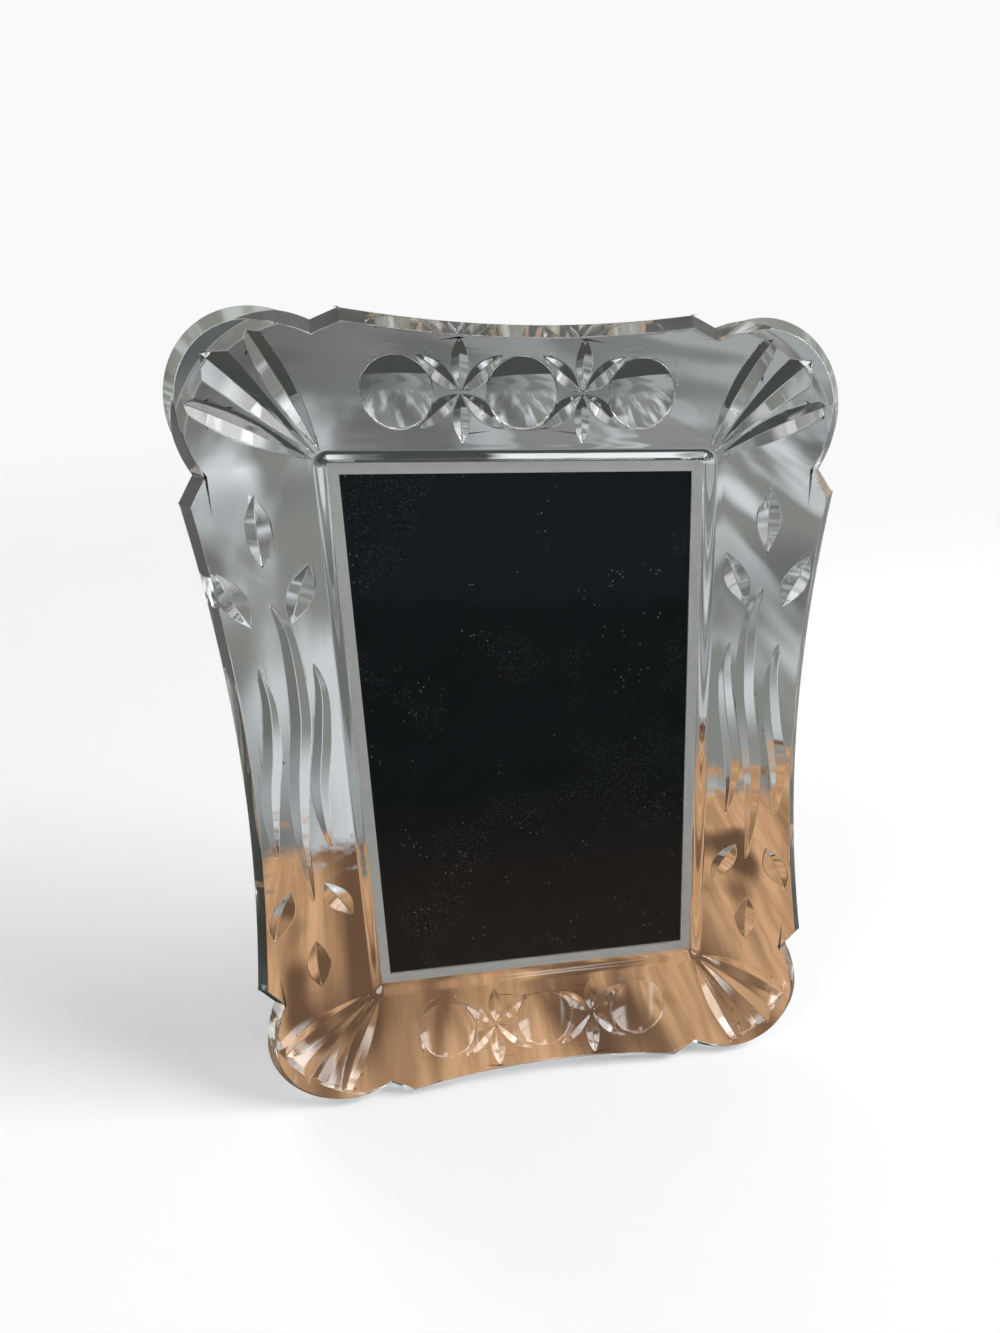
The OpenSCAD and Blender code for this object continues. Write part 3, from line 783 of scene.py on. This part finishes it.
rimLook = {
    "tint": colour(0.78, 0.8, 0.72),
    "dark": colour(0.55, 0.57, 0.48),
    "light": colour(0.9, 0.91, 0.86),
    "shade": (45, 2, 0.5),
    "shadeEdges": (0.4, 0.6),
    "clearness": 0.9,
    "polish": (300, 3, 0.5),
    "roughness": 0.02,
    "roughnessSpan": 0.06,
    "waves": (70, 2, 0.5),
    "waveDepth": 0.3 * mm,
    "waveStrength": 0.4,
}
rimFinish = Finish(
    "polishedRim", Base_Color=rimLook["tint"], Roughness=rimLook["roughness"], IOR=glassLook["index"],
    Transmission_Weight=rimLook["clearness"],
)
rimShade = rimFinish.spread(rimFinish.noise(*rimLook["shade"]), *rimLook["shadeEdges"])
rimWaves = rimFinish.noise(*rimLook["waves"])
rimFinish.feed(
    Base_Color=rimFinish.blended(rimShade, rimLook["dark"], rimLook["light"]),
    Roughness=rimLook["roughness"] + rimFinish.noise(*rimLook["polish"]) * rimLook["roughnessSpan"],
    Normal=rimFinish.bumped(rimWaves, rimLook["waveDepth"], rimLook["waveStrength"]),
)
glassBody.data.materials.append(rimFinish.material)
for index in rimFaces:
    glassBody.data.polygons[index].material_index = 1

cardLook = {
    "black": colour(0.003, 0.004, 0.005),
    "dust": colour(0.3, 0.31, 0.32),
    "specular": 0.1,
    "specks": 640,
    "speckSize": 0.13,
    "speckPlaces": (80, 2, 0.5),
    "specksAbove": 0.6,
    "fineDust": 1500,
    "fineSize": 0.2,
    "finePlaces": (26, 3, 0.6),
    "fineAbove": 0.56,
    "fineShare": 0.4,
    "grain": (900, 4, 0.6),
    "roughness": 0.42,
    "roughnessSpan": 0.2,
    "grainDepth": 0.02 * mm,
    "grainStrength": 0.3,
}
cardFinish = Finish(
    "blackCard", Base_Color=cardLook["black"], Roughness=cardLook["roughness"],
    Specular_IOR_Level=cardLook["specular"],
)
grain = cardFinish.noise(*cardLook["grain"])
specks = cardFinish.cells(cardLook["specks"]) < cardLook["speckSize"]
specks = specks * (cardFinish.noise(*cardLook["speckPlaces"]) > cardLook["specksAbove"])
fineDust = cardFinish.cells(cardLook["fineDust"]) < cardLook["fineSize"]
fineDust = fineDust * (cardFinish.noise(*cardLook["finePlaces"]) > cardLook["fineAbove"])
allDust = specks + fineDust * cardLook["fineShare"]
cardFinish.feed(
    Base_Color=cardFinish.blended(allDust, cardLook["black"], cardLook["dust"]),
    Roughness=cardLook["roughness"] + grain * cardLook["roughnessSpan"],
    Normal=cardFinish.bumped(grain, cardLook["grainDepth"], cardLook["grainStrength"]),
)
cardFinish.onto(nodes["display_card"])

linerLook = {
    "plain": colour(0.4, 0.4, 0.39),
    "dark": colour(0.55, 0.55, 0.53),
    "light": colour(1.0, 1.0, 0.98),
    "mottle": (2600, 3, 0.7),
    "patches": (260, 4, 0.6),
    "mottleShare": 0.6,
    "metallic": 0.15,
    "metallicSpan": 0.3,
    "roughness": 0.38,
    "roughnessSpan": 0.3,
    "mottleDepth": 0.05 * mm,
    "mottleStrength": 0.4,
}
linerFinish = Finish("bondedLiner", Base_Color=linerLook["plain"], Roughness=linerLook["roughness"])
mottle = linerFinish.noise(*linerLook["mottle"])
patches = linerFinish.noise(*linerLook["patches"])
linerShade = mottle * linerLook["mottleShare"] + patches * (1 - linerLook["mottleShare"])
linerFinish.feed(
    Base_Color=linerFinish.blended(linerShade, linerLook["dark"], linerLook["light"]),
    Metallic=linerLook["metallic"] + patches * linerLook["metallicSpan"],
    Roughness=linerLook["roughness"] + mottle * linerLook["roughnessSpan"],
    Normal=linerFinish.bumped(mottle, linerLook["mottleDepth"], linerLook["mottleStrength"]),
)
linerFinish.onto(*[nodes["liner_" + side] for side in ("top", "bottom", "left", "right")])

hardboardLook = {
    "plain": colour(0.16, 0.1, 0.06),
    "dark": colour(0.09, 0.055, 0.033),
    "light": colour(0.24, 0.15, 0.09),
    "roughness": 0.75,
    "fibres": (700, 6, 0.7),
    "fibreDepth": 0.1 * mm,
    "fibreStrength": 0.5,
}
pressedLook = {
    "plain": colour(0.03, 0.027, 0.025),
    "dark": colour(0.014, 0.013, 0.012),
    "light": colour(0.06, 0.054, 0.05),
    "roughness": 0.7,
    "fibres": (900, 6, 0.7),
    "fibreDepth": 0.08 * mm,
    "fibreStrength": 0.5,
}


def boardFinish(name, look):
    board = Finish(name, Base_Color=look["plain"], Roughness=look["roughness"])
    fibres = board.noise(*look["fibres"])
    board.feed(
        Base_Color=board.blended(fibres, look["dark"], look["light"]),
        Normal=board.bumped(fibres, look["fibreDepth"], look["fibreStrength"]),
    )
    return board


boardFinish("hardboard", hardboardLook).onto(nodes["back_board"])
boardFinish("pressedBoard", pressedLook).onto(nodes["easel_leg"])

flockLook = {
    "plain": colour(0.012, 0.012, 0.013),
    "dark": colour(0.005, 0.005, 0.006),
    "light": colour(0.03, 0.03, 0.033),
    "roughness": 0.95,
    "sheen": 0.5,
    "sheenRoughness": 0.4,
    "sheenTint": colour(0.35, 0.35, 0.38),
    "pile": (5200, 3, 0.7),
    "brushed": (60, 3, 0.6, (1, 1, 0.35)),
    "pileShare": 0.5,
    "pileDepth": 0.2 * mm,
    "pileStrength": 0.8,
}
flockFinish = Finish(
    "blackFlock", Base_Color=flockLook["plain"], Roughness=flockLook["roughness"],
    Sheen_Weight=flockLook["sheen"], Sheen_Roughness=flockLook["sheenRoughness"],
    Sheen_Tint=flockLook["sheenTint"],
)
pile = flockFinish.noise(*flockLook["pile"])
brushed = flockFinish.noise(*flockLook["brushed"])
flockShade = pile * flockLook["pileShare"] + brushed * (1 - flockLook["pileShare"])
flockFinish.feed(
    Base_Color=flockFinish.blended(flockShade, flockLook["dark"], flockLook["light"]),
    Normal=flockFinish.bumped(pile, flockLook["pileDepth"], flockLook["pileStrength"]),
)
flockFinish.onto(backFlock, legFlock)

metalLook = {
    "strokes": (900, 3, 0.6),
    "strokeSpan": 0.22,
    "strokeDepth": 0.01 * mm,
    "strokeStrength": 0.5,
    "tarnish": (220, 4, 0.65),
    "tarnishSpan": 0.1,
}
brassLook = {
    "dark": colour(0.42, 0.33, 0.17),
    "light": colour(0.66, 0.55, 0.32),
    "roughness": 0.22,
    "stretch": (1, 0.06, 0.06),
}
nickelLook = {
    "dark": colour(0.46, 0.44, 0.4),
    "light": colour(0.72, 0.7, 0.65),
    "roughness": 0.2,
    "stretch": (0.06, 1, 1),
}
steelLook = {
    "dark": grey(0.4),
    "light": colour(0.62, 0.62, 0.61),
    "roughness": 0.25,
    "stretch": (1, 0.06, 0.06),
}


def metalFinish(name, look):
    metal = Finish(name, Base_Color=look["light"], Roughness=look["roughness"], Metallic=1.0)
    strokes = metal.noise(*metalLook["strokes"], look["stretch"])
    tarnish = metal.noise(*metalLook["tarnish"])
    dull = strokes * metalLook["strokeSpan"] + tarnish * metalLook["tarnishSpan"]
    metal.feed(
        Base_Color=metal.blended(tarnish, look["dark"], look["light"]),
        Roughness=look["roughness"] + dull,
        Normal=metal.bumped(strokes, metalLook["strokeDepth"], metalLook["strokeStrength"]),
    )
    return metal


hingeFinish = metalFinish("brassedSteel", brassLook)
hingeFinish.onto(*[n for name, n in nodes.items() if name.startswith("hinge_") and name != "hinge_pin"])
buttonFinish = metalFinish("nickelledSteel", nickelLook)
buttonFinish.onto(*[n for name, n in nodes.items() if name.startswith("turn_button_")])
steelFinish = metalFinish("plainSteel", steelLook)
steelFinish.onto(nodes["hinge_pin"], nodes["button_rivets"])
print("materials made")


# Stage: a pale floor and backdrop, glowing cards that only clear glass and metal see, painted light of a
# room and a table for the glass to show, and lamps

floorSize = {
    "half": 6.0,
    "backdropAt": 3.0,
    "backdropTop": 4.0,
    "backdropBend": 1.2,
    "bendSteps": 16,
    "light": grey(0.9),
    "dark": grey(0.86),
    "patches": (3, 3, 0.5),
    "roughness": 0.9,
    "glow": 0.945,  # far from the frame the floor shows one pale level instead of the lamps' light
    "glowEdges": (0.1, 0.7),  # squares of the distance from the frame
}


def makeFloor():
    half = floorSize["half"]
    bpy.ops.mesh.primitive_plane_add(size=2 * half)
    piece = newest("floor")
    editing(piece)
    pick(piece, lambda place: place.y > 0)
    bpy.ops.transform.translate(value=(0, floorSize["backdropAt"] - half, 0))
    pulled((0, 0, floorSize["backdropTop"]))
    edited()
    bend, steps = floorSize["backdropBend"], floorSize["bendSteps"]
    modified(piece, "BEVEL", width=bend, segments=steps, limit_method="ANGLE")
    alone(piece)
    bpy.ops.object.shade_smooth()
    return piece


floor = makeFloor()
floorFinish = Finish(
    "paleFloor", Base_Color=floorSize["light"], Roughness=floorSize["roughness"], Specular_IOR_Level=0.0,
    Emission_Strength=floorSize["glow"],
)
here = floorFinish.place
away = floorFinish.node("ShaderNodeVectorMath", {"operation": "DOT_PRODUCT"}, {0: here, 1: here}, "Value")
glow = floorFinish.light("Is Camera Ray") * floorFinish.spread(away, *floorSize["glowEdges"])
pale = floorFinish.blended(floorFinish.noise(*floorSize["patches"]), floorSize["dark"], floorSize["light"])
floorFinish.feed(
    Base_Color=floorFinish.blended(glow, pale, grey(0)),
    Emission_Color=floorFinish.blended(glow, grey(0), grey(1)),
)
floorFinish.onto(floor)

cardSize = {
    "groundNear": -6.2,
    "halfWidth": 3.0,
    "lift": 0.4 * mm,
    "wallAt": 1.75,
    "wallTop": 2.4,
}
skyLook = {
    "light": 0.46,
    "seen": grey(0.93),
    "clouds": (1.4, 2, 0.5),
    "cloudEdges": (0.42, 0.66),
    "cloudLevels": (0.2, 0.8),
    "mirroredFront": colour(0.05, 0.075, 0.085),
    "mirroredRear": colour(0.5, 0.51, 0.52),
    "rearEdges": (0, 0.3),
    "panels": grey(7.0),
    "panelSides": (0.2, 0.35),
    "panelHeights": (0.03, 0.12),
    "panelTop": (0.7, 0.78),
    "panelFront": (0.3, 0.1),
    "panelBreaks": (3, 1, 0.5),
    "breakEdges": (0.44, 0.5),
}


# A card glows with its pattern, painted room light seen through the glass, and with another tint where it
# is only mirrored, a painted reflection
def makeCard(name, corners, finish, tint, reflected):
    bpy.ops.mesh.primitive_plane_add(size=1)
    card = newest(name)
    editing(card)
    shape = bmesh.from_edit_mesh(card.data)
    for corner, place in zip(shape.verts, corners):
        corner.co = place
    bmesh.update_edit_mesh(card.data)
    edited()
    card.visible_camera = False
    card.visible_diffuse = False
    card.visible_shadow = False
    seen = finish.blended(finish.light("Is Transmission Ray"), reflected, tint)
    finish.feed(Emission_Color=finish.blended(finish.litSoftly(), seen, grey(skyLook["light"])))
    finish.onto(card)


# Card finishes are pure glow: their colour is painted light, not a surface lit by the lamps
def makeCardFinish(name):
    return Finish(name, Base_Color=grey(0), Roughness=1.0, Specular_IOR_Level=0.0, Emission_Strength=1.0)


# The ground card's glowing colours: painted light of a table and a room floor, darker and lighter by
# distance and side, and painted reflection tints
groundLook = {
    "frontNear": colour(0.3, 0.19, 0.12),
    "frontFar": colour(0.05, 0.06, 0.065),
    "frontEdges": (-0.5, -0.1),
    "beyondEdges": (-0.1, -0.03),
    "warmLight": colour(0.68, 0.4, 0.215),
    "warmLine": colour(0.46, 0.26, 0.135),
    "warmDark": colour(0.14, 0.075, 0.042),
    "fineLines": (150, 3, 0.6, (1, 0.08, 1), (0, 0, 0.5)),
    "fineEdges": (0.35, 0.65),
    "broadLines": (24, 2, 0.5, (1, 0.22, 1), (0, 0, 0.5)),
    "broadEdges": (0.36, 0.52),
    "darkSpots": (17, 2, 0.5, (1, 0.6, 1), (0, 0, 0.5)),
    "spotEdges": (0.33, 0.4),
    "warmUntil": 0.122,
    "warmSkew": 0.2,
    "wander": (40, 3, 0.6),
    "wanderSpan": 0.16,
    "untilEdges": (-0.012, 0.02),
    "coolNear": colour(0.64, 0.68, 0.7),
    "coolStreak": colour(0.24, 0.245, 0.23),
    "streaks": (9, 2, 0.5, (1.7, 0.3, 1)),
    "streakEdges": (0.46, 0.64),
    "coolFarLeft": colour(0.15, 0.155, 0.155),
    "coolFarRight": colour(0.36, 0.38, 0.39),
    "asideEdges": (-0.2, 0.5),
    "farEdges": (0.7, 1.15),
    "shading": (4, 3, 0.5, (1.3, 0.8, 1)),
    "shadingSpan": 0.5,
    "coolDark": colour(0.065, 0.07, 0.07),
    "patches": (4, 1, 0.5, (1, 0.5, 1)),
    "patchEdges": (0.45, 0.6),
    "patchShare": 0.5,
    "mirroredFront": colour(0.03, 0.04, 0.045),
    "mirroredRear": colour(0.5, 0.51, 0.52),
    "rearEdges": (0, 0.15),
}


# Painted light of a table and a room for the glass: a warm ground as far as a slanting edge, then a cool
# one that darkens with distance and is lighter to the right
def makeGroundCard():
    look = groundLook
    finish = makeCardFinish("groundGlow")
    depth = finish.along("Y")
    aside = finish.along("X")
    front = finish.blended(finish.spread(depth, *look["frontEdges"]), look["frontFar"], look["frontNear"])
    fine = finish.spread(finish.noise(*look["fineLines"]), *look["fineEdges"])
    broad = finish.spread(finish.noise(*look["broadLines"]), *look["broadEdges"])
    spots = finish.spread(finish.noise(*look["darkSpots"]), *look["spotEdges"])
    warm = finish.blended(fine, look["warmLine"], look["warmLight"])
    warm = finish.blended(broad * spots, look["warmDark"], warm)
    streaks = finish.spread(finish.noise(*look["streaks"]), *look["streakEdges"])
    close = finish.blended(streaks, look["coolStreak"], look["coolNear"])
    rightward = finish.spread(aside, *look["asideEdges"])
    far = finish.blended(rightward, look["coolFarLeft"], look["coolFarRight"])
    shading = (finish.noise(*look["shading"]) - 0.5) * look["shadingSpan"]
    cool = finish.blended(finish.spread(depth + shading, *look["farEdges"]), close, far)
    patches = finish.spread(finish.noise(*look["patches"]), *look["patchEdges"])
    cool = finish.blended(patches * look["patchShare"], cool, look["coolDark"])
    wander = (finish.noise(*look["wander"]) - 0.5) * look["wanderSpan"]
    past = depth - aside * look["warmSkew"] + wander - look["warmUntil"]
    beyond = finish.blended(finish.spread(past, *look["untilEdges"]), warm, cool)
    tint = finish.blended(finish.spread(depth, *look["beyondEdges"]), front, beyond)
    rear = finish.spread(depth, *look["rearEdges"])
    reflected = finish.blended(rear, look["mirroredFront"], look["mirroredRear"])
    near, end, half, lift = (cardSize[n] for n in ("groundNear", "wallAt", "halfWidth", "lift"))
    corners = ((-half, near, lift), (half, near, lift), (-half, end, lift), (half, end, lift))
    makeCard("groundCard", corners, finish, tint, reflected)


# The wall card's glowing colours: painted light of a room wall, and a painted reflection tint
wallLook = {
    "light": colour(0.9, 0.94, 0.97),
    "dark": colour(0.06, 0.065, 0.06),
    "heights": (0.31, 0.4),
    "patches": (2.2, 2, 0.5, (1.6, 1, 0.7)),
    "patchEdges": (0.4, 0.5),
    "mirrored": colour(0.5, 0.51, 0.52),
}


# Painted room light: dark low down, with pale glowing patches above
def makeWallCard():
    finish = makeCardFinish("wallGlow")
    patches = finish.spread(finish.noise(*wallLook["patches"]), *wallLook["patchEdges"])
    share = finish.spread(finish.along("Z"), *wallLook["heights"]) * patches
    tint = finish.blended(share, wallLook["dark"], wallLook["light"])
    end, top, half = (cardSize[n] for n in ("wallAt", "wallTop", "halfWidth"))
    corners = ((-half, end, 0), (half, end, 0), (-half, end, top), (half, end, top))
    makeCard("wallCard", corners, finish, tint, wallLook["mirrored"])


makeGroundCard()
makeWallCard()

lampSizes = {
    "keyLamp": {"place": (1.4, -0.5, 1.15), "aim": (0, 0, 0.1), "size": (1.0, 1.0), "power": 32},
    "fillLamp": {"place": (-1.4, -0.9, 1.1), "aim": (0, 0, 0.1), "size": (0.6, 1.2), "power": 7},
    "rearLamp": {"place": (-0.6, 1.1, 1.2), "aim": (0, 0, 0.15), "size": (0.5, 0.5), "power": 3.5},
}
for lampName, lampSize in lampSizes.items():
    bpy.ops.object.light_add(type="AREA", location=lampSize["place"])
    lamp = newest(lampName)
    lamp.data.shape = "RECTANGLE"
    lamp.data.size, lamp.data.size_y = lampSize["size"]
    lamp.data.energy = lampSize["power"]
    aim = Vector(lampSize["aim"]) - Vector(lampSize["place"])
    lamp.rotation_euler = aim.to_track_quat("-Z", "Y").to_euler()


# One pale level to the camera, an even light to matt surfaces, clouds through the glass,
# and dim where mirrored, apart from tall bright panels on both sides and overhead
def makeWorld():
    look = skyLook
    world = bpy.data.worlds.new("softSky")
    bpy.context.scene.world = world
    world.use_nodes = True
    sky = Graph(world.node_tree, "Generated")
    aside, depth, height = (sky.along(axis) for axis in "XYZ")
    clouds = sky.spread(sky.noise(*look["clouds"]), *look["cloudEdges"], *look["cloudLevels"])
    sides = sky.spread(aside * aside, *look["panelSides"]) * sky.spread(height, *look["panelHeights"])
    breaks = sky.spread(sky.noise(*look["panelBreaks"]), *look["breakEdges"])
    overhead = sky.spread(height, *look["panelTop"])
    panels = (sides + overhead) * sky.spread(depth, *look["panelFront"]) * breaks
    plain = grey(look["light"])
    tint = sky.blended(sky.light("Is Camera Ray"), plain, look["seen"])
    tint = sky.blended(sky.light("Is Transmission Ray"), tint, sky.blended(clouds, grey(0), grey(1)))
    dim = sky.blended(sky.spread(depth, *look["rearEdges"]), look["mirroredFront"], look["mirroredRear"])
    dim = sky.blended(panels, dim, look["panels"])
    shown = sky.blended(sky.light("Is Glossy Ray"), tint, dim)
    back = world.node_tree.nodes["Background"]
    sky.fed(back.inputs["Color"], sky.blended(sky.litSoftly(), shown, plain))
    back.inputs["Strength"].default_value = 1.0


makeWorld()

cameraSize = {
    "place": (-0.04487, -0.30256, 0.27140),
    "turn": (55.184, -3.261, -14.227),
    "lens": 29.76,
    "sensor": 36,
    "shift": (-0.1186, 0.1549),
    "clip": (0.01, 50),
}
turn = [math.radians(a) for a in cameraSize["turn"]]
bpy.ops.object.camera_add(location=cameraSize["place"], rotation=turn)
camera = newest("camera")
camera.data.lens = cameraSize["lens"]
camera.data.sensor_width = cameraSize["sensor"]
camera.data.shift_x, camera.data.shift_y = cameraSize["shift"]
camera.data.clip_start, camera.data.clip_end = cameraSize["clip"]
bpy.context.scene.camera = camera
bpy.context.scene.view_settings.view_transform = "Standard"
print("stage set")
